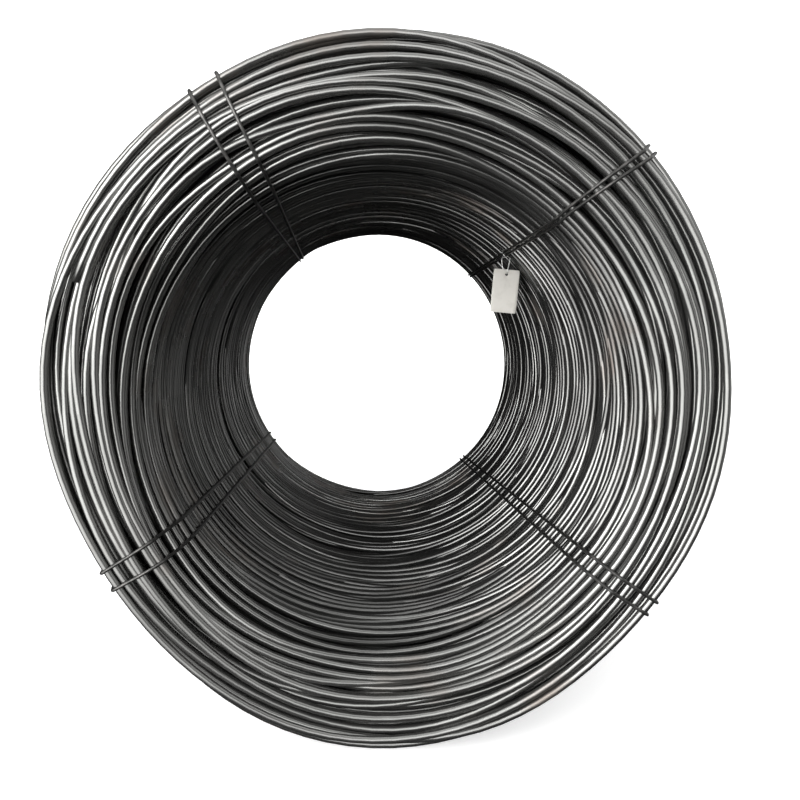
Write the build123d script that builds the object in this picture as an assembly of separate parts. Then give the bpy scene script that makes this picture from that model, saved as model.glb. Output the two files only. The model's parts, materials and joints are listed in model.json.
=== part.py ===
from build123d import *
import math
import os

# A coil of carbon steel wire, lying on its barrel with the bore level.
# Millimetres. +Z is up, and Y runs along the bore, with the near end at -Y.
# The origin is on the floor, under the middle of the coil.

# The coil of wire
wire_diameter = 14.0
outer_diameter = 1250.0
bore_diameter = 900.0
coil_length = 1500.0

# How the ends round over, onto the barrel and into the bore. The turns lie close on the
# barrel's edge and on the face, and apart where they fall away into the bore.
barrel_round = 30.0
bore_round = 76.0
close_pitch = wire_diameter
loose_pitch = 38.0
groove_depth = 6.0

# The ties: each is two strands of wire round the wall of the coil
tie_diameter = 6.0
tie_sides = 4
tie_clearance = 0.3
bore_slack = 2.6

# Where each strand lies, in degrees up from +X: on the barrel, at the near mouth of the bore
# and at its far mouth. The strands a and b of one place make one tie.
strands = {
    "upper_left_a": (117.5, 117.9, 126.1),
    "upper_left_b": (122.4, 123.1, 127.3),
    "upper_right_a": (44.3, 48.6, 42.9),
    "upper_right_b": (45.9, 49.7, 44.0),
    "lower_right_a": (-38.6, -39.8, -50.2),
    "lower_right_b": (-36.2, -36.1, -48.3),
    "lower_left_a": (209.1, 207.6, 212.5),
    "lower_left_b": (211.9, 212.8, 216.2),
}

# The twist that closes each strand, lying along the barrel
twist_length = 70.0
twist_diameter = 11.0
twist_from_middle = 160.0
twist_stagger = 95.0

# The tag, hanging from the upper right tie, and its hole
tag_width = 65.0
tag_height = 107.0
tag_thickness = 1.6
tag_corner = 8.0
tag_hole_diameter = 7.0
tag_hole_from_top = 12.0
tag_hole_play = 0.3
tag_from_near_end = 640.0
tag_drop = 56.0
tag_tilt = 5.0

# The thin wire that the tag hangs on
tag_wire_diameter = 1.8
tag_wire_sides = 4
tag_wire_bend = 2.0
tag_wire_end = 26.0

# Radii that follow from the sizes above
outer_radius = outer_diameter / 2
bore_radius = bore_diameter / 2
tie_radius = tie_diameter / 2
half_length = coil_length / 2
axis_height = outer_radius


def end_curve():
    """The smooth line of the far end: over the barrel's edge, the face, and into the bore."""
    barrel_centre = (outer_radius - barrel_round, half_length - barrel_round)
    bore_centre = (bore_radius + bore_round, half_length - bore_round)
    over_barrel = CenterArc(barrel_centre, barrel_round, 0, 90)
    over_bore = CenterArc(bore_centre, bore_round, 90, 90)
    face = Line(over_barrel @ 1, over_bore @ 0)
    return over_barrel, face, over_bore


def ridges(curve, pitch):
    """Points along a curve that rise to it at each turn and dip between two turns."""
    turns = round(curve.length / pitch)
    points = []
    for turn in range(turns):
        points.append(curve @ ((turn + 0.5) / turns))
        meeting = (turn + 1) / turns
        tangent = curve % meeting
        into_coil = Vector(tangent.Y, -tangent.X)
        points.append(curve @ meeting - into_coil * groove_depth)
    return points


def end_ridges():
    """The far end as it is seen: one ridge for each turn of wire that shows there."""
    over_barrel, face, over_bore = end_curve()
    points = [over_barrel @ 0]
    points += ridges(over_barrel, close_pitch)
    points += ridges(face, close_pitch)
    points += ridges(over_bore, loose_pitch)
    points[-1] = over_bore @ 1
    return points


def wire_coil():
    """One turned solid for all the turns, with its bore through it."""
    far_end = end_ridges()
    near_end = [Vector(point.X, -point.Y) for point in reversed(far_end)]
    section = make_face(Polyline(*far_end, *near_end, close=True))
    coil = revolve(section, axis=Axis.Y)
    return Pos(0, 0, axis_height) * coil


def at_angle(radius, angle, along):
    """A point at a radius and an angle round the bore's line, and a distance along it."""
    turn = math.radians(angle)
    return Vector(radius * math.cos(turn), along, axis_height + radius * math.sin(turn))


def strand_in_bore():
    """The radius at which the strands run along the bore."""
    return bore_radius - bore_slack - tie_radius


def twist_station(strand):
    """How far along the barrel the twist of a strand lies."""
    side = 1 if strand.endswith("b") else -1
    return twist_from_middle + side * twist_stagger / 2


def strand_path(strand):
    """The line of one strand, from its twist round the wall of the coil and back to it."""
    on_barrel, near_mouth, far_mouth = strands[strand]
    stand_off = tie_radius + tie_clearance
    outside = outer_radius + stand_off
    inside = strand_in_bore()
    end = half_length + stand_off
    twist = twist_station(strand)
    corners = [
        at_angle(outside, on_barrel, twist + tie_diameter),
        at_angle(outside, on_barrel, end),
        at_angle(inside, far_mouth, end),
        at_angle(inside, near_mouth, -end),
        at_angle(outside, on_barrel, -end),
        at_angle(outside, on_barrel, twist - tie_diameter),
    ]
    over_barrel = barrel_round + stand_off
    over_bore = bore_round + stand_off
    return FilletPolyline(*corners, radius=[over_barrel, over_bore, over_bore, over_barrel])


def tie_strand(strand):
    """One strand of a tie, with the twist that closes it."""
    path = strand_path(strand)
    section = Plane(origin=path @ 0, z_dir=path % 0) * RegularPolygon(tie_radius, tie_sides)
    wire = sweep(section, path=path)
    on_barrel = strands[strand][0]
    height = outer_radius + tie_clearance + twist_diameter / 2
    start = at_angle(height, on_barrel, twist_station(strand) - twist_length / 2)
    profile = Plane(origin=start, z_dir=(0, 1, 0)) * RegularPolygon(twist_diameter / 2, tie_sides)
    twist = extrude(profile, amount=twist_length)
    return wire + twist


def tag_strands():
    """The places on the two strands of the upper right tie that the tag hangs from."""
    share = tag_from_near_end / coil_length
    places = []
    for strand in ("upper_right_a", "upper_right_b"):
        near_mouth, far_mouth = strands[strand][1:]
        angle = near_mouth + (far_mouth - near_mouth) * share
        places.append(at_angle(strand_in_bore(), angle, tag_from_near_end - half_length))
    return places


def tag_hole_point():
    """The middle of the tag's hole, straight below the two strands."""
    lower, upper = tag_strands()
    return (lower + upper) / 2 - Vector(0, 0, tag_drop)


def tag():
    """The plate of the tag, with rounded corners and its hole."""
    middle = (0, tag_hole_from_top - tag_height / 2)
    plate = Pos(*middle) * RectangleRounded(tag_width, tag_height, tag_corner)
    outline = plate - Circle(tag_hole_diameter / 2)
    face = Plane(origin=tag_hole_point(), x_dir=(1, 0, 0), z_dir=(0, -1, 0))
    tilted = face * Rot(0, 0, -tag_tilt) * outline
    return extrude(tilted, amount=tag_thickness / 2, both=True)


def behind_strands(across, along):
    """A point in the gap between the strands and the bore, at a distance across from the middle."""
    radius = bore_radius - bore_slack / 2
    height = math.sqrt(radius**2 - across**2)
    return Vector(across, along, axis_height + height)


def tag_wire():
    """The wire that loops over both strands and runs through the tag's hole."""
    lower, upper = tag_strands()
    wire_radius = tag_wire_diameter / 2
    along = lower.Y
    beside = tie_radius + wire_radius + tag_wire_bend
    past_plate = tag_thickness / 2 + wire_radius + tag_wire_bend
    in_hole = tag_hole_point() + Vector(0, 0, tag_hole_diameter / 2 - wire_radius - tag_hole_play)
    over_left = behind_strands(upper.X - beside, along)
    over_right = behind_strands(lower.X + beside, along + past_plate)
    hang_left = over_left - Vector(0, 0, tag_wire_end)
    end_left = hang_left - Vector(0, past_plate, 0)
    corners = [
        hang_left,
        over_left,
        over_right,
        in_hole + Vector(0, past_plate, 0),
        in_hole - Vector(0, past_plate, 0),
        end_left,
    ]
    path = FilletPolyline(*corners, radius=tag_wire_bend)
    section = Plane(origin=path @ 0, z_dir=path % 0) * RegularPolygon(wire_radius, tag_wire_sides)
    return sweep(section, path=path)


def main():
    os.makedirs("parts", exist_ok=True)
    export_step(wire_coil(), "parts/wire_coil.step")
    for strand in strands:
        export_step(tie_strand(strand), f"parts/tie_{strand}.step")
    export_step(tag(), "parts/tag.step")
    export_step(tag_wire(), "parts/tag_wire.step")


main()
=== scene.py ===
import functools
import json
import math

import bpy
import numpy as np
from bpy.props import FloatProperty, FloatVectorProperty, IntProperty, PointerProperty
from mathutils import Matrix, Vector


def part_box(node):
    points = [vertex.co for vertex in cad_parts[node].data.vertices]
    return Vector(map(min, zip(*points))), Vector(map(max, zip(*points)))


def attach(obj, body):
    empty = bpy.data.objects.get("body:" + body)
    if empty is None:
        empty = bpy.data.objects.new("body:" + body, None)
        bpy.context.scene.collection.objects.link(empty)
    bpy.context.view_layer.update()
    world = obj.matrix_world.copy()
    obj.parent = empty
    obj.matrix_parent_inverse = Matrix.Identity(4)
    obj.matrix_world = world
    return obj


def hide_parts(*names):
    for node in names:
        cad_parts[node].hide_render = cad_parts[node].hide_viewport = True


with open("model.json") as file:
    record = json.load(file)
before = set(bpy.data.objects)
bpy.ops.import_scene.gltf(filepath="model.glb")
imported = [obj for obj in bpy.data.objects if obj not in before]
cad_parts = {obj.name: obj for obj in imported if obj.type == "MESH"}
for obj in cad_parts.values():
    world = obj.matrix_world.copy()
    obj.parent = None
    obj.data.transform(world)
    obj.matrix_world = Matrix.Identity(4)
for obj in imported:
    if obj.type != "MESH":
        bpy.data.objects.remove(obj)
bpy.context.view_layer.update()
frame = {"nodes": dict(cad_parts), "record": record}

bl_info = {
    "name": "Coil of steel wire",
    "version": (1, 0, 0),
    "blender": (4, 5, 0),
    "location": "3D View > Sidebar > Wire coil",
    "description": "Winds a coil of steel wire, binds it, hangs its tag and sets the stage",
    "category": "Object",
}

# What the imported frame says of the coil
coil_low, coil_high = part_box("wire_coil")
bore_mount = frame["record"]["mounts"][0]
TIES = ("upper_left", "upper_right", "lower_right", "lower_left")
STRANDS = [f"tie_{tie}_{side}" for tie in TIES for side in "ab"]

MM = 0.001

# Steps of the wire in one turn
STEPS = 96
# Steps that are laid at once, and how many are looked at before and after them
CHUNK = 48
LOOK = 24


class CoilSizes(bpy.types.PropertyGroup):
    """Sizes of the coil and of the wire that it is wound from."""

    wire_diameter: FloatProperty(
        name="Wire diameter", description="Thickness of the wire", default=0.014, unit="LENGTH"
    )
    outer_diameter: FloatProperty(
        name="Outer diameter",
        description="Across the barrel",
        default=coil_high.z - coil_low.z,
        unit="LENGTH",
    )
    bore_diameter: FloatProperty(
        name="Bore diameter",
        description="Across the bore",
        default=2 * bore_mount["dims"]["r_mm"] * MM,
        unit="LENGTH",
    )
    coil_length: FloatProperty(
        name="Length", description="Along the bore", default=coil_high.y - coil_low.y, unit="LENGTH"
    )
    barrel_round: FloatProperty(
        name="Barrel rounding",
        description="Radius of the edge between barrel and end",
        default=0.040,
        unit="LENGTH",
    )
    bore_round: FloatProperty(
        name="Bore rounding",
        description="Radius of the edge between end and bore",
        default=0.076,
        unit="LENGTH",
    )
    depth: FloatProperty(
        name="Depth of the courses",
        description="How far below the surface the deepest course lies",
        default=0.042,
        unit="LENGTH",
    )
    seed: IntProperty(name="Seed", description="Changes how the turns wander", default=7)


class StageSettings(bpy.types.PropertyGroup):
    """The floor, the light and the camera."""

    camera_place: FloatVectorProperty(
        name="Camera place",
        description="Where the camera stands",
        default=(-0.0528, -2.154, 0.785),
        subtype="TRANSLATION",
        unit="LENGTH",
    )
    camera_right: FloatProperty(
        name="Turned right",
        description="How far the camera looks to the right of the bore's line",
        default=math.radians(2.59),
        unit="ROTATION",
    )
    camera_down: FloatProperty(
        name="Turned down",
        description="How far the camera looks down",
        default=math.radians(5.72),
        unit="ROTATION",
    )
    lens: FloatProperty(
        name="Lens", description="Focal length in millimetres", default=36.9, min=1.0
    )
    floor_colour: FloatVectorProperty(
        name="Floor colour",
        description="Colour of the floor and backdrop",
        default=(0.9, 0.9, 0.9),
        subtype="COLOR",
        min=0.0,
        max=1.0,
    )
    key_power: FloatProperty(
        name="Key light", description="Power of the key light in watts", default=200.0, min=0.0
    )


# Shader maths


class Value:
    """A socket of a shader node, on which sums are written as they are in Python."""

    def __init__(self, tree, socket):
        self.tree = tree
        self.socket = socket

    def node(self, kind, values=(), settings=(), output=0):
        """A new node: its settings are set first, then its inputs, by number or by name."""
        made = self.tree.nodes.new(kind)
        for name, setting in dict(settings).items():
            setattr(made, name, setting)
        for key, value in dict(values).items():
            if isinstance(value, Value):
                self.tree.links.new(value.socket, made.inputs[key])
            else:
                made.inputs[key].default_value = value
        return Value(self.tree, made.outputs[output])

    def math(self, operation, *values):
        return self.node("ShaderNodeMath", dict(enumerate(values)), {"operation": operation})

    def __add__(self, other):
        return self.math("ADD", self, other)

    def __radd__(self, other):
        return self.math("ADD", other, self)

    def __sub__(self, other):
        return self.math("SUBTRACT", self, other)

    def __rsub__(self, other):
        return self.math("SUBTRACT", other, self)

    def __mul__(self, other):
        return self.math("MULTIPLY", self, other)

    def __rmul__(self, other):
        return self.math("MULTIPLY", other, self)

    def __pow__(self, other):
        return self.math("POWER", self, other)

    def __neg__(self):
        return self.math("MULTIPLY", self, -1.0)

    def between(self, low, high):
        """0 below low, 1 above high, and smooth between them."""
        return self.node(
            "ShaderNodeMapRange", {0: self, 1: low, 2: high}, {"interpolation_type": "SMOOTHSTEP"}
        )


def mix_colours(share, first, second):
    """The first colour where share is 0, and the second where it is 1."""
    colours = {"A": first, "B": second}
    made = share.tree.nodes.new("ShaderNodeMix")
    made.data_type = "RGBA"
    by_name = {s.identifier: s for s in made.inputs}
    share.tree.links.new(share.socket, by_name["Factor_Float"])
    for name, colour in colours.items():
        socket = by_name[f"{name}_Color"]
        if isinstance(colour, Value):
            share.tree.links.new(colour.socket, socket)
        else:
            socket.default_value = (*colour, 1.0)
    result = next(s for s in made.outputs if s.identifier == "Result_Color")
    return Value(share.tree, result)


def new_material(name):
    """A material with its own Principled shader, and a Value to start sums from."""
    material = bpy.data.materials.new(name)
    material.use_nodes = True
    tree = material.node_tree
    shader = tree.nodes["Principled BSDF"]
    start = Value(tree, None)
    place = start.node("ShaderNodeTexCoord", output=3)
    return material, shader, place


def feed(shader, **sockets):
    """Sets the shader's sockets, by link where the value is one."""
    for name, value in sockets.items():
        socket = shader.inputs[name.replace("_", " ")]
        if isinstance(value, Value):
            value.tree.links.new(value.socket, socket)
        else:
            socket.default_value = value


def parts_of(place):
    """The three parts of a vector."""
    split = place.node("ShaderNodeSeparateXYZ", {0: place})
    outputs = split.socket.node.outputs
    return [Value(place.tree, output) for output in outputs]


def vector_of(x, y, z):
    """A vector of three parts."""
    source = next(part for part in (x, y, z) if isinstance(part, Value))
    return source.node("ShaderNodeCombineXYZ", {0: x, 1: y, 2: z})


def noise(place, scale, detail=2.0, roughness=0.5):
    """Soft noise from 0 to 1."""
    return place.node(
        "ShaderNodeTexNoise",
        {"Vector": place, "Scale": scale, "Detail": detail, "Roughness": roughness},
        {"noise_dimensions": "3D"},
    )


def along_wire(place, axis_height):
    """Coordinates that follow the turns: radius, place along the bore, and angle."""
    x, y, z = parts_of(place)
    up = z - axis_height
    radius = (x * x + up * up) ** 0.5
    angle = up.math("ARCTAN2", up, x)
    return radius, y, angle


# Colours of the hot-rolled wire
DARK_SCALE = (0.095, 0.095, 0.092)
LIGHT_SCALE = (0.165, 0.165, 0.16)
# Lighter rubbed scale: real wear in blotches, and painted light on the end faces
RUBBED_AND_LIT_SCALE = (0.27, 0.27, 0.26)
RUST_COLOUR = (0.10, 0.055, 0.03)
# Near black: painted shade for the turns deep in the wall
PAINTED_SHADE_COLOUR = (0.016, 0.015, 0.014)


def inside_corner(first, second, rounding):
    """How far inside a rounded corner a point lies, from its distances inside the two sides."""
    short_of = [rounding - distance for distance in (first, second)]
    across, along = (part.math("MAXIMUM", part, 0.0) for part in short_of)
    return rounding - (across * across + along * along) ** 0.5


def painted_depth_shade(radius, along, sizes):
    """0 on the turns that lie outermost and 1 on those deep in the wall, where painted shade
    darkens the gaps between the outer turns.
    """
    from_end = sizes.coil_length / 2 - along.math("ABSOLUTE", along)
    from_bore = radius - sizes.bore_diameter / 2
    from_barrel = sizes.outer_diameter / 2 - radius
    bore_side = inside_corner(from_end, from_bore, sizes.bore_round)
    barrel_side = inside_corner(from_end, from_barrel, sizes.barrel_round)
    deep_in_bore = bore_side.between(0.004, 0.034)
    deep_in_barrel = barrel_side.between(0.020, 0.050)
    return deep_in_bore * deep_in_barrel


def coil_steel(sizes):
    """Hot-rolled wire: dark mill scale, rubbed lighter in places, a little brown rust, ends partly
    rubbed and partly painted lighter as light, and painted shade deep in the wall.
    """
    material, shader, place = new_material("coil_wire")
    radius, along, angle = along_wire(place, axis_height())
    streaks = noise(vector_of(radius * 60.0, along * 60.0, angle * 1.2), 1.0, 3.0)
    scratches = noise(vector_of(radius * 900.0, along * 900.0, angle * 9.0), 1.0, 2.0)
    blotches = noise(place, 9.0, 4.0, 0.6)
    rust = (noise(place, 3.2, 3.0, 0.6) - 0.52).between(0.02, 0.16) * blotches.between(0.35, 0.7)
    scale = mix_colours(streaks.between(0.3, 0.7), DARK_SCALE, LIGHT_SCALE)
    worn = mix_colours(blotches.between(0.55, 0.8) * 0.5, scale, RUBBED_AND_LIT_SCALE)
    # Lighter towards both end faces: partly rubbed by handling, partly painted light that brightens
    # the ends against the bore
    ends_rubbed_and_lit = 1 - (sizes.coil_length / 2 - along.math("ABSOLUTE", along)).between(0.01, 0.10)
    handled_and_lit = mix_colours(ends_rubbed_and_lit * 0.3, worn, RUBBED_AND_LIT_SCALE)
    rusty = mix_colours(rust * 0.35, handled_and_lit, RUST_COLOUR)
    # Painted shade: turns deep in the wall darken towards near black, so the gaps between the outer
    # turns look dark
    depth_shade = painted_depth_shade(radius, along, sizes)
    colour = mix_colours(depth_shade, rusty, PAINTED_SHADE_COLOUR)
    rough = 0.18 + streaks * 0.08 + rust * 0.25 + scratches * 0.04 + depth_shade * 0.15
    bump = place.node(
        "ShaderNodeBump",
        {"Strength": 0.12, "Distance": 0.0005, "Height": scratches * 0.6 + blotches * 0.4},
    )
    feed(shader, Base_Color=colour, Metallic=0.9, Roughness=rough, Normal=bump)
    return material


def cut_steel():
    """The sheared face at a free end of the wire."""
    material, shader, place = new_material("cut_face")
    grain = noise(place, 900.0, 2.0)
    colour = mix_colours(grain, (0.62, 0.62, 0.60), (0.80, 0.80, 0.78))
    feed(shader, Base_Color=colour, Metallic=1.0, Roughness=0.3 + grain * 0.2)
    return material


def tie_steel():
    """The ties' round wire, dark and satin, scuffed where it bends."""
    material, shader, place = new_material("tie_wire")
    scuffs = noise(place, 60.0, 4.0, 0.6)
    specks = noise(place, 700.0, 2.0)
    colour = mix_colours(scuffs.between(0.4, 0.75), (0.05, 0.05, 0.048), (0.13, 0.125, 0.12))
    bump = place.node("ShaderNodeBump", {"Strength": 0.2, "Distance": 0.0003, "Height": specks})
    feed(
        shader,
        Base_Color=colour,
        Metallic=0.9,
        Roughness=0.36 + scuffs * 0.15,
        Normal=bump,
    )
    return material


def tag_plastic():
    """The tag's stiff off-white plate, bare and faintly soiled."""
    material, shader, place = new_material("tag")
    soil = noise(place, 35.0, 4.0, 0.6)
    fibre = noise(place, 1500.0, 2.0)
    colour = mix_colours(soil.between(0.45, 0.8), (0.64, 0.62, 0.575), (0.54, 0.52, 0.48))
    bump = place.node("ShaderNodeBump", {"Strength": 0.15, "Distance": 0.0002, "Height": fibre})
    feed(shader, Base_Color=colour, Roughness=0.5 + soil * 0.15, Normal=bump)
    return material


def bright_wire():
    """The thin galvanised wire that the tag hangs on."""
    material, shader, place = new_material("tag_wire")
    spangle = noise(place, 400.0, 2.0)
    colour = mix_colours(spangle, (0.50, 0.50, 0.49), (0.72, 0.72, 0.70))
    feed(shader, Base_Color=colour, Metallic=1.0, Roughness=0.28 + spangle * 0.15)
    return material


def floor_paint(colour):
    """The pale floor and backdrop."""
    material, shader, place = new_material("pale_floor")
    mottle = noise(place, 0.8, 2.0)
    dim = tuple(0.985 * part for part in colour)
    paint = mix_colours(mottle, dim, tuple(colour))
    feed(shader, Base_Color=paint, Roughness=0.8, Emission_Color=paint, Emission_Strength=0.55)
    return material


# Winding the wire


def section_line(sizes):
    """The closed line round the wall's section: length so far, places and outward directions.

    A place is a radius and a distance along the bore. The line starts on the near end and
    runs into the bore, over the far end and back along the barrel."""
    outer = sizes.outer_diameter / 2
    bore = sizes.bore_diameter / 2
    half = sizes.coil_length / 2
    over_bore, over_barrel = sizes.bore_round, sizes.barrel_round
    corners = (
        (bore + over_bore, over_bore - half, over_bore, -90),
        (bore + over_bore, half - over_bore, over_bore, -180),
        (outer - over_barrel, half - over_barrel, over_barrel, -270),
        (outer - over_barrel, over_barrel - half, over_barrel, -360),
    )
    places, outward = [], []
    for radius, along, rounding, start in corners:
        turn = np.radians(np.linspace(start, start - 90, 46))
        out = np.stack([np.cos(turn), np.sin(turn)], 1)
        outward.append(out)
        places.append(np.array([radius, along]) + rounding * out)
    places = np.concatenate([*places, places[0][:1]])
    outward = np.concatenate([*outward, outward[0][:1]])
    lengths = np.linalg.norm(np.diff(places, axis=0), axis=1)
    return np.concatenate([[0.0], np.cumsum(lengths)]), places, outward


def at_lane(line, lane):
    """Places and outward directions at the given lengths round the section."""
    length, places, outward = line
    lane = np.mod(lane, length[-1])
    place = np.stack([np.interp(lane, length, places[:, k]) for k in (0, 1)], -1)
    out = np.stack([np.interp(lane, length, outward[:, k]) for k in (0, 1)], -1)
    return place, out / np.linalg.norm(out, axis=-1, keepdims=True)


def by_side(out, end, bore, barrel):
    """A value that is one thing on the ends, one in the bore and one on the barrel."""
    across = out[..., 0] ** 2
    return end * (1 - across) + np.where(out[..., 0] < 0, bore, barrel) * across


# The gap from turn to turn in each course, deepest first: on the ends, in the bore, on the barrel
COURSES = ((17.0, 18.0, 17.0), (14.0, 21.0, 20.0), (13.0, 25.0, 20.0))
# How deep the middle of the wire lies in each course
COURSE_DEPTHS = (38.0, 24.0, 8.0)
# How far the turns sway together, and how far each turn wanders by itself
SWAY = (8.0, 9.0, 7.0)
WANDER = (9.0, 12.0, 8.0)
# The waves that a turn wanders in: how strong, and how many steps long
WANDER_WAVES = ((0.75, STEPS // 20), (0.65, STEPS // 6))
# How far the pile of turns may stand out past the surface
PILE = (24.0, 12.0, 6.0)
# How far two turns that cross are pressed into each other, where the pile has room
PRESSED = 0.6
# Over how many steps a turn's rise over another is smoothed
RISE = 5.0
# By what share the far end is less out of round than the near end
TRUER_FAR_END = 0.4
# Where the free end lies on the near end, and over what part of a turn the wander dies there
FREE_END_RADIUS = 0.5725
FREE_END_ANGLE = math.radians(157.4)
CALM_END = 0.7
# Sides of the tube in each course
COURSE_SIDES = {"deep": 6, "middle": 10, "outer": 12}


def smooth_wave(random, count, span):
    """A random wave of unit size that turns over in about span steps."""
    reach = np.arange(-3 * span, 3 * span + 1)
    bell = np.exp(-((reach / span) ** 2) / 2)
    wave = np.convolve(random.standard_normal(count + 6 * span), bell, mode="valid")
    return wave / wave.std()


def sway(random, lane, angle):
    """A smooth unit-sized shift that neighbouring turns share."""
    shift = np.zeros(len(lane))
    grid = np.arange(lane.min() - 0.01, lane.max() + 0.01, MM)
    for harmonic in (1, 2, 3, 4):
        for phase in (0.0, math.pi / 2):
            strength = np.interp(lane, grid, smooth_wave(random, len(grid), 110))
            shift += strength * np.cos(harmonic * angle + phase) / harmonic
    return shift / shift.std()


def squeeze(line, lane, depth):
    """How much shorter the way round is at a depth below the surface, where the line bends."""
    out = at_lane(line, np.stack([lane - 2 * MM, lane + 2 * MM]))[1]
    bend = np.linalg.norm(out[1] - out[0], axis=-1) / (4 * MM)
    return np.maximum(1 - bend * depth, 0.2)


def lanes(sizes, line):
    """Where round the section each step of the wire is laid, and where each course starts."""
    whole = line[0][-1]
    face_end = sizes.bore_diameter / 2 + sizes.bore_round
    first = whole - (FREE_END_RADIUS - face_end)
    grid = np.arange(first, first + len(COURSES) * whole, MM)
    out = at_lane(line, grid)[1]
    course = np.minimum(((grid - first) / whole).astype(int), len(COURSES) - 1)
    narrow = squeeze(line, grid, np.array(COURSE_DEPTHS)[course] * MM)
    end, bore, barrel = np.array(COURSES)[course].T * MM
    pitch = by_side(out, end, bore, barrel) / narrow
    steps = np.cumsum(MM / pitch) * STEPS
    count = int(steps[-1])
    starts = np.interp(first + whole * np.arange(1, len(COURSES)), grid, steps).astype(int)
    lane = np.interp(np.arange(count), steps, grid)
    out = at_lane(line, lane)[1]
    angle = (np.arange(count) - count) * 2 * math.pi / STEPS
    random = np.random.default_rng(sizes.seed)
    fade = np.clip((count - np.arange(count)) / (CALM_END * STEPS), 0, 1) ** 2
    lane += by_side(out, *SWAY) * MM * sway(random, lane, angle) * fade
    wander = sum(size * smooth_wave(random, count, span) for size, span in WANDER_WAVES)
    return lane + by_side(out, *WANDER) * MM * wander * fade, starts


def stand_out(sizes, base, out):
    """The places of all steps, each lifted out over what was laid before it, as far as allowed."""
    contact = sizes.wire_diameter - PRESSED * MM
    top = sizes.depth - sizes.wire_diameter / 2 + by_side(out, *PILE) * MM
    count = len(base)
    bell = np.exp(-((np.arange(-LOOK + 6, LOOK - 5) / RISE) ** 2) / 2)
    bell /= bell.sum()
    laid = base.copy()
    for start in range(0, count, CHUNK):
        reach = np.clip(np.arange(start - LOOK, start + CHUNK + LOOK), 0, count - 1)
        before = reach - STEPS * np.arange(1, start // STEPS + 2)[:, None]
        older = laid[np.maximum(before, 0)]
        apart = older - base[reach]
        away = (apart * out[reach]).sum(-1)
        beside = (apart**2).sum(-1) - away**2
        rests = (before >= 0) & (beside < contact**2)
        heights = np.where(rests, away + np.sqrt(np.maximum(contact**2 - beside, 0)), 0)
        needed = np.clip(heights.max(0), 0, top[reach])
        for _ in range(3):
            needed = np.maximum(needed, np.maximum(np.roll(needed, 1), np.roll(needed, -1)))
        height = np.convolve(needed, bell, mode="same")[LOOK : LOOK + CHUNK]
        done = slice(start, min(start + CHUNK, count))
        height = height[: done.stop - done.start, None]
        laid[done] = base[done] + height * out[done]
    return laid


def out_of_round(angle):
    """How far the coil's outside stands out from a true circle at an angle, in metres."""
    return MM * (
        -12.9
        + 19.2 * np.cos(angle - 1.60)
        - 16.6 * np.cos(2 * angle - 0.05)
        + 10.2 * np.cos(3 * angle - 1.56)
        + 4.4 * np.cos(4 * angle + 0.62)
    )


@functools.lru_cache
def wound(settings):
    """The whole wire as laid: angle, radius and place along, and where each course starts.

    The settings only tell one winding from another, so that each is made once."""
    sizes = bpy.context.scene.coil_sizes
    line = section_line(sizes)
    lane, starts = lanes(sizes, line)
    place, out = at_lane(line, lane)
    laid = stand_out(sizes, place - sizes.depth * out, out)
    steps = np.arange(len(lane))
    angle = FREE_END_ANGLE + (steps - len(lane) + 1) * 2 * math.pi / STEPS
    outer, bore = sizes.outer_diameter / 2, sizes.bore_diameter / 2
    share = np.clip((laid[:, 0] - bore) / (outer - bore), 0, 1)
    near = 1 - TRUER_FAR_END * (laid[:, 1] / sizes.coil_length + 0.5)
    radius = laid[:, 0] + out_of_round(angle) * share * near
    lowest = sizes.wire_diameter / 2 - outer
    deep = np.minimum(radius * np.sin(angle), 0)
    radius = np.where(deep < lowest, radius * lowest / np.minimum(deep, -MM), radius)
    return angle, radius, laid[:, 1], starts


def winding():
    """The wound wire at the sizes as they are set now."""
    sizes = bpy.context.scene.coil_sizes
    return wound(tuple(getattr(sizes, name) for name in sizes.__annotations__))


def axis_height():
    return bpy.context.scene.coil_sizes.outer_diameter / 2


def in_space(radius, angle, along):
    """Points in space, from radius and angle round the bore's line and place along it."""
    height = axis_height()
    return np.stack([radius * np.cos(angle), along, height + radius * np.sin(angle)], -1)


# Making meshes


def mesh_object(name, points, faces, materials, kinds=None):
    """A smooth object from points, faces and the number of each face's material."""
    mesh = bpy.data.meshes.new(name)
    mesh.from_pydata(points, [], faces)
    for material in materials:
        mesh.materials.append(material)
    if kinds is not None:
        mesh.polygons.foreach_set("material_index", kinds)
    mesh.polygons.foreach_set("use_smooth", [True] * len(mesh.polygons))
    mesh.validate()
    mesh.update()
    made = bpy.data.objects.new(name, mesh)
    bpy.context.scene.collection.objects.link(made)
    return made


class Tubes:
    """Round tubes with closed ends, gathered into one mesh."""

    def __init__(self, sides):
        self.turn = np.arange(sides) * 2 * math.pi / sides
        self.sides = sides
        self.points = []
        self.faces = []
        self.kinds = []
        self.count = 0

    def add(self, centres, across, upward, radius, bare_ends=(False, False)):
        """A tube round the centres, whose section spans the two directions at each of them."""
        ring = (
            np.cos(self.turn)[:, None] * across[:, None, :]
            + np.sin(self.turn)[:, None] * upward[:, None, :]
        )
        rings = len(centres)
        self.points.append((centres[:, None, :] + radius * ring).reshape(-1, 3))
        number = self.count + np.arange(rings * self.sides).reshape(rings, self.sides)
        here, after = number[:-1], number[1:]
        quads = np.stack([here, np.roll(here, -1, 1), np.roll(after, -1, 1), after], -1)
        self.faces.extend(quads.reshape(-1, 4).tolist())
        self.kinds.extend([0] * (quads.size // 4))
        self.faces.append(number[0][::-1].tolist())
        self.faces.append(number[-1].tolist())
        self.kinds.extend(int(bare) for bare in bare_ends)
        self.count += rings * self.sides

    def finish(self, name, materials):
        made = mesh_object(name, np.concatenate(self.points), self.faces, materials, self.kinds)
        for polygon in made.data.polygons:
            if len(polygon.vertices) != 4:
                polygon.use_smooth = False
        return made


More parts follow.
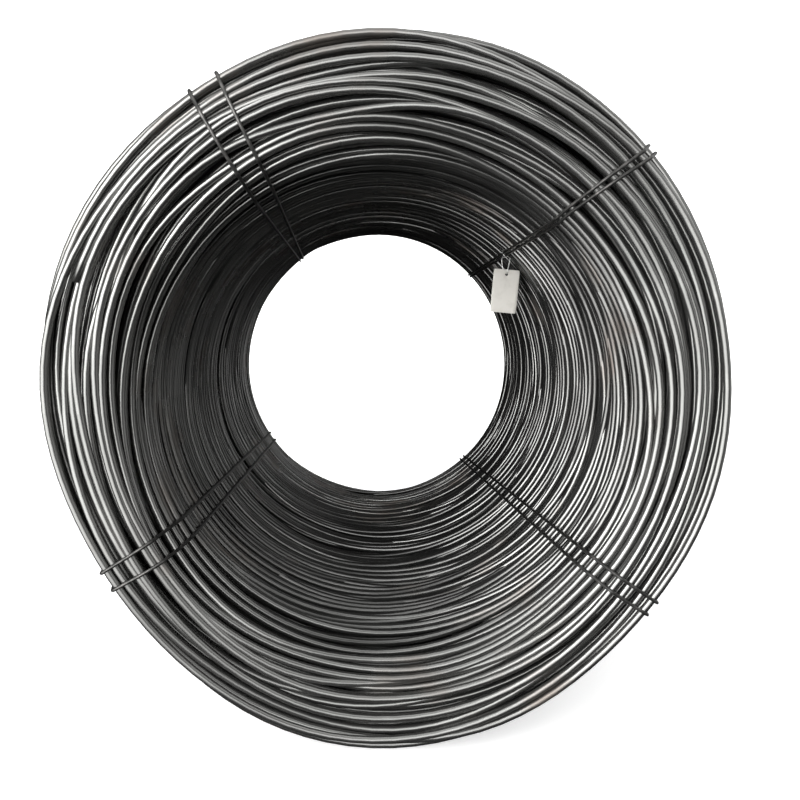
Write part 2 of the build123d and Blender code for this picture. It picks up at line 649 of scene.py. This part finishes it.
def wire_piece(name, start, end, sides):
    """One piece of the coil: a stretch of the wire as a round tube."""
    angle, radius, along, _ = winding()
    sizes = bpy.context.scene.coil_sizes
    last = len(angle) - 1
    steps = np.arange(start, min(end, last) + 1)
    centres = in_space(radius[steps], angle[steps], along[steps])
    across = np.stack([np.cos(angle[steps]), np.zeros(len(steps)), np.sin(angle[steps])], -1)
    upward = np.tile([0.0, 1.0, 0.0], (len(steps), 1))
    tubes = Tubes(sides)
    bare = (steps[0] == 0, steps[-1] == last)
    tubes.add(centres, across, upward, sizes.wire_diameter / 2, bare)
    piece = tubes.finish(name, [materials()["coil_wire"], materials()["cut_face"]])
    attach(piece, "root")
    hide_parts("wire_coil")
    return piece


@functools.lru_cache
def materials():
    """Every material of the coil, by the name of its slot."""
    return {
        "coil_wire": coil_steel(bpy.context.scene.coil_sizes),
        "cut_face": cut_steel(),
        "tie_wire": tie_steel(),
        "tag": tag_plastic(),
        "tag_wire": bright_wire(),
    }


def frames_along(points):
    """Two directions across a line at each of its points, without twist."""
    ahead = np.gradient(points, axis=0)
    ahead /= np.linalg.norm(ahead, axis=1, keepdims=True)
    across = np.empty_like(points)
    guess = np.cross(ahead[0], [0.3, 0.5, 0.8])
    for step, direction in enumerate(ahead):
        guess = guess - direction * (guess @ direction)
        guess = guess / np.linalg.norm(guess)
        across[step] = guess
    return across, np.cross(ahead, across)


def without_repeats(points, least):
    """The points, without those that lie nearer than least to the one before."""
    kept = [points[0]]
    for point in points[1:]:
        if np.linalg.norm(point - kept[-1]) > least:
            kept.append(point)
    return np.array(kept)


# Binding the coil


TIE_RADIUS = 0.003
# What stands farther than this from the barrel is a strand's twist
TWIST_RISE = 0.008
# How often the two ends go round each other, and how close they lie
TWIST_TURNS = 3.5
TWIST_PRESSED = 0.92
# The cut tails after the twist: how far on and how far out
TAIL = ((0.004, 0.001), (0.009, 0.0035))


def strand_places(node):
    """Where a strand lies, read from its solid: its angles, and the two ends of its twist."""
    sizes = bpy.context.scene.coil_sizes
    corners = np.array([v.co for v in frame["nodes"][node].data.vertices])
    up = corners[:, 2] - axis_height()
    radius = np.hypot(corners[:, 0], up)
    along = corners[:, 1]
    in_bore = radius < sizes.bore_diameter / 2
    on_barrel = radius > sizes.outer_diameter / 2
    angles = [
        math.atan2(up[chosen].mean(), corners[chosen, 0].mean())
        for chosen in (on_barrel, in_bore & (along < 0), in_bore & (along > 0))
    ]
    twist = along[radius > sizes.outer_diameter / 2 + TWIST_RISE]
    return np.unwrap(angles), (twist.min(), twist.max())


def strand_angle(angles, radius, along):
    """The angle of a strand at a radius and a place along the bore."""
    sizes = bpy.context.scene.coil_sizes
    barrel, near, far = angles
    outer, bore = sizes.outer_diameter / 2, sizes.bore_diameter / 2
    toward_far = np.clip(along / sizes.coil_length + 0.5, 0, 1)
    inside = near + (far - near) * toward_far
    outward = np.clip((radius - bore) / (outer - bore), 0, 1)
    return inside + (barrel - inside) * outward


@functools.lru_cache
def strand_round_wall(node):
    """The taut line of a strand round all the turns, from the far end of its twist to the near.

    Returns radii and places along the bore, without the stretch that the twist takes."""
    sizes = bpy.context.scene.coil_sizes
    angles, (twist_start, twist_end) = strand_places(node)
    angle, radius, along, _ = winding()
    off = np.mod(angle - strand_angle(angles, radius, along) + math.pi, 2 * math.pi) - math.pi
    here = np.abs(off) < math.pi / STEPS
    centres = np.stack([radius[here], along[here]], 1)
    around = np.radians(np.arange(-90.0, 270.0, 2.0))
    outward = np.stack([np.cos(around), np.sin(around)], 1)
    farthest = centres[(centres @ outward.T).argmax(0)]
    loop = farthest + (sizes.wire_diameter / 2 + TIE_RADIUS) * outward
    outside = loop[:, 0] > (sizes.outer_diameter + sizes.bore_diameter) / 4
    after_twist = np.flatnonzero(outside & (loop[:, 1] > twist_end + TIE_RADIUS))[0]
    loop = np.roll(loop, -after_twist, axis=0)
    outside = np.roll(outside, -after_twist)
    return loop[~(outside & (np.abs(loop[:, 1] - twist_start) < twist_end - twist_start))]


def twisted_ends(loop, twist):
    """The two ends of a strand wound round each other: radius, place along and sideways."""
    start, end = twist
    share = np.linspace(0, 1, 56)
    pace = np.minimum(1, np.minimum(share, 1 - share) / 0.1 + 0.05)
    turned = np.concatenate([[0], np.cumsum(pace[:-1])]) / pace[:-1].sum()
    lift = TIE_RADIUS * TWIST_PRESSED
    along = start + (end - start) * share
    level = np.interp(along, [loop[-1, 1], loop[0, 1]], [loop[-1, 0], loop[0, 0]]) + lift
    phase = math.pi + 2 * math.pi * TWIST_TURNS * turned
    ends = []
    for shift, tail_side in ((0, 1), (math.pi, -1)):
        radius = level + lift * np.cos(phase + shift)
        sideways = lift * np.sin(phase + shift)
        line = np.stack([radius, along, sideways], 1)
        tip = line[-1] if tail_side > 0 else line[0]
        tail = [tip + [rise, tail_side * run, 0] for run, rise in TAIL]
        ends.append(np.concatenate([line, tail]) if tail_side > 0 else [*tail[::-1], *line])
    return ends


def tie_strand(node):
    """One strand of a tie, taut round the wall and closed by its twist."""
    angles, twist = strand_places(node)
    loop = strand_round_wall(node)
    from_near, from_far = twisted_ends(loop, twist)
    level = np.concatenate([loop, np.zeros((len(loop), 1))], 1)
    line = np.concatenate([from_far, level, from_near])
    turn = strand_angle(angles, line[:, 0], line[:, 1]) + line[:, 2] / line[:, 0]
    points = without_repeats(in_space(line[:, 0], turn, line[:, 1]), 0.0008)
    across, upward = frames_along(points)
    tubes = Tubes(10)
    tubes.add(points, across, upward, TIE_RADIUS, (True, True))
    piece = tubes.finish(f"{node}_strand", [materials()["tie_wire"], materials()["cut_face"]])
    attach(piece, "root")
    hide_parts(node)
    return piece


# Hanging the tag


def tag_place():
    """The tag as its solid lies: its hole, its two directions, its size and its thickness."""
    corners = np.array([v.co for v in frame["nodes"]["tag"].data.vertices])
    flat = corners[:, [0, 2]]

    def spans(tilt):
        across = np.array([math.cos(tilt), -math.sin(tilt)])
        upward = np.array([math.sin(tilt), math.cos(tilt)])
        return flat @ across, flat @ upward

    tilts = np.radians(np.arange(-10.0, 10.0, 0.1))
    tilt = min(tilts, key=lambda tilt: math.prod(np.ptp(span) for span in spans(tilt)))
    x, z = spans(tilt)
    middle, top = (x.min() + x.max()) / 2, z.max()
    width, height = np.ptp(x), np.ptp(z)
    rim = (np.abs(x - middle) < width / 8) & (z < top - 0.003) & (z > top - 0.02)
    hole = corners[rim].mean(0)
    hole_radius = (z[rim].max() - z[rim].min()) / 2
    from_top = top - z[rim].mean()
    across = Vector((math.cos(tilt), 0, -math.sin(tilt)))
    upward = Vector((math.sin(tilt), 0, math.cos(tilt)))
    thickness = np.ptp(corners[:, 1])
    return Vector(hole), across, upward, (width, height, thickness, hole_radius, from_top)


def rounded_outline(width, height, corner):
    """Close points round a rectangle with rounded corners, whose middle is at 0, 0."""
    points = []
    for turn, (side, up) in enumerate(((1, 1), (-1, 1), (-1, -1), (1, -1))):
        middle = np.array([side * (width / 2 - corner), up * (height / 2 - corner)])
        for step in np.radians(np.arange(0, 91, 10) + 90 * turn):
            points.append(middle + corner * np.array([math.cos(step), math.sin(step)]))
    points = np.array([*points, points[0]])
    length = np.concatenate([[0], np.cumsum(np.linalg.norm(np.diff(points, axis=0), axis=1))])
    close = np.arange(0, length[-1], MM / 2)
    return np.stack([np.interp(close, length, points[:, k]) for k in (0, 1)], 1)


def tag_plate():
    """The tag's plate: rounded corners, soft edges, its hole and a slight curl."""
    hole, across, upward, (width, height, thickness, hole_radius, from_top) = tag_place()
    corner, edge, curl, count = 0.0035, 0.0003, 0.0016, 120
    outline = rounded_outline(width, height, corner)
    outline[:, 1] += from_top - height / 2
    angle = np.arctan2(outline[:, 1], outline[:, 0])
    wanted = np.linspace(-math.pi, math.pi, count, endpoint=False)
    rays = np.stack([np.cos(wanted), np.sin(wanted)], 1)
    reach = np.linalg.norm(outline, axis=1)
    reach = np.interp(wanted, angle, reach, period=2 * math.pi)
    rings = []
    for side in (-1, 1):
        levels = [np.full(count, hole_radius), np.full(count, hole_radius + edge)]
        for share in (0.2, 0.4, 0.6, 0.8):
            levels.append(hole_radius + (reach - hole_radius) * share)
        levels += [reach - edge, reach]
        depth = np.full(len(levels), thickness / 2)
        depth[[0, -1]] -= edge
        here = [(level, side * d) for level, d in zip(levels, depth)]
        rings += here if side < 0 else here[::-1]
    points = []
    for level, depth in rings:
        flat = rays * level[:, None]
        bend = curl * ((flat[:, 0] / width) ** 2 * 2 - (flat[:, 1] / height) ** 2)
        for (x, z), shift in zip(flat, bend):
            points.append(hole + across * x + upward * z + Vector((0, depth + shift, 0)))
    number = np.arange(len(points)).reshape(-1, count)
    after = np.roll(number, -1, 0)
    quads = np.stack([number, after, np.roll(after, -1, 1), np.roll(number, -1, 1)], -1)
    faces = quads.reshape(-1, 4).tolist()
    piece = mesh_object("tag_plate", points, faces, [materials()["tag"]])
    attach(piece, "root")
    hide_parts("tag")
    return piece


def strand_point(node, along):
    """Where the middle of a strand is at a place along the bore, and which way is outward."""
    angles, _ = strand_places(node)
    loop = strand_round_wall(node)
    inside = loop[:, 0] < bpy.context.scene.coil_sizes.bore_diameter / 2 + 0.02
    near = loop[inside & (loop[:, 1] < along)]
    far = loop[inside & (loop[:, 1] > along)]
    ends = np.array([near[near[:, 1].argmax()], far[far[:, 1].argmin()]])
    first, last = in_space(ends[:, 0], strand_angle(angles, ends[:, 0], ends[:, 1]), ends[:, 1])
    point = first + (last - first) * (along - first[1]) / (last[1] - first[1])
    outward = Vector((point[0], 0, point[2] - axis_height())).normalized()
    return Vector(point), outward


def smooth_line(points, steps):
    """A smooth line through points, with so many steps from one to the next."""
    padded = [points[0] * 2 - points[1], *points, points[-1] * 2 - points[-2]]
    line = []
    for p, q, r, s in zip(padded, padded[1:], padded[2:], padded[3:]):
        for t in np.linspace(0, 1, steps, endpoint=False):
            line.append(
                0.5 * (2 * q + (r - p) * t + (2 * p - 5 * q + 4 * r - s) * t**2)
                + 0.5 * (3 * q - p - 3 * r + s) * t**3
            )
    return np.array([*line, points[-1]])


# The legs of the tag's wire, in millimetres right of, behind and above the hole
RIGHT_LEG = ((0, -2.4, 2.0), (2.5, -2.8, 11), (5.5, -2.8, 27), (8.2, -2.6, 44))
LEFT_LEG = ((0, 2.4, 2.0), (-6.5, 2.8, 8), (-10.5, 2.8, 20), (-11.5, 2.2, 40))
TAG_WIRE_RADIUS = 0.0011


def tag_loop():
    """The thin wire that goes through the tag's hole and over both strands."""
    hole = tag_place()[0]
    lower, outward = strand_point("tie_upper_right_a", hole.y)
    upper, _ = strand_point("tie_upper_right_b", hole.y)
    aside = Vector((-outward.z, 0, outward.x))
    close = TIE_RADIUS + TAG_WIRE_RADIUS
    back = Vector((0, 0.0025, 0))
    over = [
        upper + aside * 0.014 + outward * 0.003 + back,
        upper + aside * 0.005 + outward * close + back,
        (upper + lower) / 2 + outward * close + back,
        lower - aside * close + outward * 0.001 + back,
    ]
    right = [hole + Vector(part) * MM for part in RIGHT_LEG[::-1]]
    left = [hole + Vector(part) * MM for part in LEFT_LEG]
    under = [
        lower - outward * close - aside * 0.001 - back,
        upper + aside * close - outward * 0.001 - back / 2,
        upper + outward * close + aside * 0.001,
    ]
    line = smooth_line([Vector(p) for p in (*over, *right, *left, *under)], 8)
    line = without_repeats(line, 0.0003)
    across, upward = frames_along(line)
    tubes = Tubes(8)
    tubes.add(line, across, upward, TAG_WIRE_RADIUS)
    piece = tubes.finish("tag_loop", [materials()["tag_wire"]])
    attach(piece, "root")
    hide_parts("tag_wire")
    return piece


# The stage

# Where the key light hangs, what it is turned to and how wide it is
KEY_PLACE = (-2.6, -4.2, 2.3)
KEY_TARGET = (0.2, 0.0, 0.5)
KEY_SIZE = 3.0
# How bright the room is: to the front left and right, overhead, on the right side and
# everywhere
FRONT_LEFT = 4.8
FRONT_RIGHT = 0.5
OVERHEAD = 1.7
RIGHT_SIDE = 0.9
EVERYWHERE = 0.005


def seamless_floor(colour):
    """A wide round floor that sweeps up into a wall."""
    inner, wall, rise = 5.0, 8.0, 6.0
    bend = np.radians(np.linspace(0, 90, 13))
    radii = np.concatenate([[0.5, 2.0, 3.5], inner + (wall - inner) * np.sin(bend), [wall]])
    heights = np.concatenate([[0, 0, 0], (wall - inner) * (1 - np.cos(bend)), [rise]])
    around = np.linspace(0, 2 * math.pi, 97)[:-1]
    rings = np.stack(
        [
            radii[:, None] * np.cos(around),
            radii[:, None] * np.sin(around),
            np.repeat(heights[:, None], len(around), 1),
        ],
        -1,
    )
    number = np.arange(rings.shape[0] * rings.shape[1]).reshape(rings.shape[:2])
    here, after = number[:-1], number[1:]
    quads = np.stack([here, after, np.roll(after, -1, 1), np.roll(here, -1, 1)], -1)
    faces = quads.reshape(-1, 4).tolist()
    faces.append(number[0].tolist())
    floor = mesh_object("floor", rings.reshape(-1, 3), faces, [floor_paint(colour)])
    for ray in ("visible_diffuse", "visible_glossy", "visible_shadow"):
        setattr(floor, ray, False)
    return floor


def soft_light(name, place, target, size, power):
    """A square area light, turned to its target."""
    lamp = bpy.data.lights.new(name, "AREA")
    lamp.shape = "SQUARE"
    lamp.size = size
    lamp.energy = power
    made = bpy.data.objects.new(name, lamp)
    made.location = place
    made.rotation_euler = (Vector(target) - Vector(place)).to_track_quat("-Z", "Y").to_euler()
    bpy.context.scene.collection.objects.link(made)
    return made


def room_light():
    """Soft light: bright from the front left and above, dim from the right, dark from below."""
    world = bpy.data.worlds.new("room")
    bpy.context.scene.world = world
    world.use_nodes = True
    tree = world.node_tree
    start = Value(tree, None)
    x, y, z = parts_of(start.node("ShaderNodeTexCoord", output=0))
    front = (0.3 - y).between(0.0, 0.45)
    level = (z - x * 0.6).between(-0.35, 0.0) * (1 - z.between(0.3, 0.85))
    left = (-x * 0.55 - y * 0.83).between(0.45, 0.95)
    right = (x * 0.94 - y * 0.34).between(0.3, 0.9)
    above = z.between(0.45, 1.0) * (0.7 - y).between(0.0, 0.5)
    beside = (x * 0.95 + y * 0.2).between(0.2, 0.9) * z.between(-0.6, 0.1)
    strength = EVERYWHERE + (left * FRONT_LEFT + right * FRONT_RIGHT) * level * front
    strength = strength + above * OVERHEAD + beside * RIGHT_SIDE
    tree.links.new(strength.socket, tree.nodes["Background"].inputs["Strength"])
    tree.nodes["Background"].inputs["Color"].default_value = (1.0, 1.0, 1.0, 1.0)


def set_camera(stage):
    camera = bpy.data.objects.new("camera", bpy.data.cameras.new("camera"))
    camera.data.lens = stage.lens
    camera.data.sensor_width = 36.0
    camera.location = stage.camera_place
    camera.rotation_euler = (math.pi / 2 - stage.camera_down, 0.0, -stage.camera_right)
    bpy.context.scene.collection.objects.link(camera)
    bpy.context.scene.camera = camera


# The add-on


class WIRECOIL_OT_wind(bpy.types.Operator):
    """Winds the wire into its coil"""

    bl_idname = "wirecoil.wind"
    bl_label = "Wind the coil"

    def execute(self, context):
        angle, _, _, starts = winding()
        courses = zip(COURSE_SIDES.items(), (0, *starts), (*starts, len(angle)))
        for (name, sides), start, end in courses:
            half = (start + end) // 2
            wire_piece(f"turns_{name}_1", start, half, sides)
            wire_piece(f"turns_{name}_2", half, end, sides)
        return {"FINISHED"}


class WIRECOIL_OT_bind(bpy.types.Operator):
    """Binds the coil with its four ties"""

    bl_idname = "wirecoil.bind"
    bl_label = "Bind the coil"

    def execute(self, context):
        for node in STRANDS:
            tie_strand(node)
        return {"FINISHED"}


class WIRECOIL_OT_hang_tag(bpy.types.Operator):
    """Hangs the tag in the bore"""

    bl_idname = "wirecoil.hang_tag"
    bl_label = "Hang the tag"

    def execute(self, context):
        tag_plate()
        tag_loop()
        return {"FINISHED"}


class WIRECOIL_OT_set_stage(bpy.types.Operator):
    """Sets up the floor, the light and the camera"""

    bl_idname = "wirecoil.set_stage"
    bl_label = "Set the stage"

    def execute(self, context):
        stage = context.scene.coil_stage
        seamless_floor(tuple(stage.floor_colour))
        room_light()
        soft_light("key", KEY_PLACE, KEY_TARGET, KEY_SIZE, stage.key_power)
        set_camera(stage)
        context.scene.view_settings.view_transform = "Standard"
        return {"FINISHED"}


class WIRECOIL_PT_panel(bpy.types.Panel):
    """Shows the coil's sizes, the stage settings and the buttons that build the coil"""

    bl_label = "Wire coil"
    bl_space_type = "VIEW_3D"
    bl_region_type = "UI"
    bl_category = "Wire coil"

    def draw(self, context):
        for group in ("coil_sizes", "coil_stage"):
            settings = getattr(context.scene, group)
            for name in settings.__annotations__:
                self.layout.prop(settings, name)
        for operator in OPERATORS:
            self.layout.operator(operator.bl_idname)


OPERATORS = (WIRECOIL_OT_wind, WIRECOIL_OT_bind, WIRECOIL_OT_hang_tag, WIRECOIL_OT_set_stage)
GROUPS = {"coil_sizes": CoilSizes, "coil_stage": StageSettings}


def register():
    for made in (*GROUPS.values(), *OPERATORS, WIRECOIL_PT_panel):
        bpy.utils.register_class(made)
    for name, group in GROUPS.items():
        setattr(bpy.types.Scene, name, PointerProperty(type=group))


def unregister():
    for name in GROUPS:
        delattr(bpy.types.Scene, name)
    for made in reversed((*GROUPS.values(), *OPERATORS, WIRECOIL_PT_panel)):
        bpy.utils.unregister_class(made)


def main():
    register()
    bpy.ops.wirecoil.wind()
    bpy.ops.wirecoil.bind()
    bpy.ops.wirecoil.hang_tag()
    bpy.ops.wirecoil.set_stage()


if __name__ == "__main__":
    main()
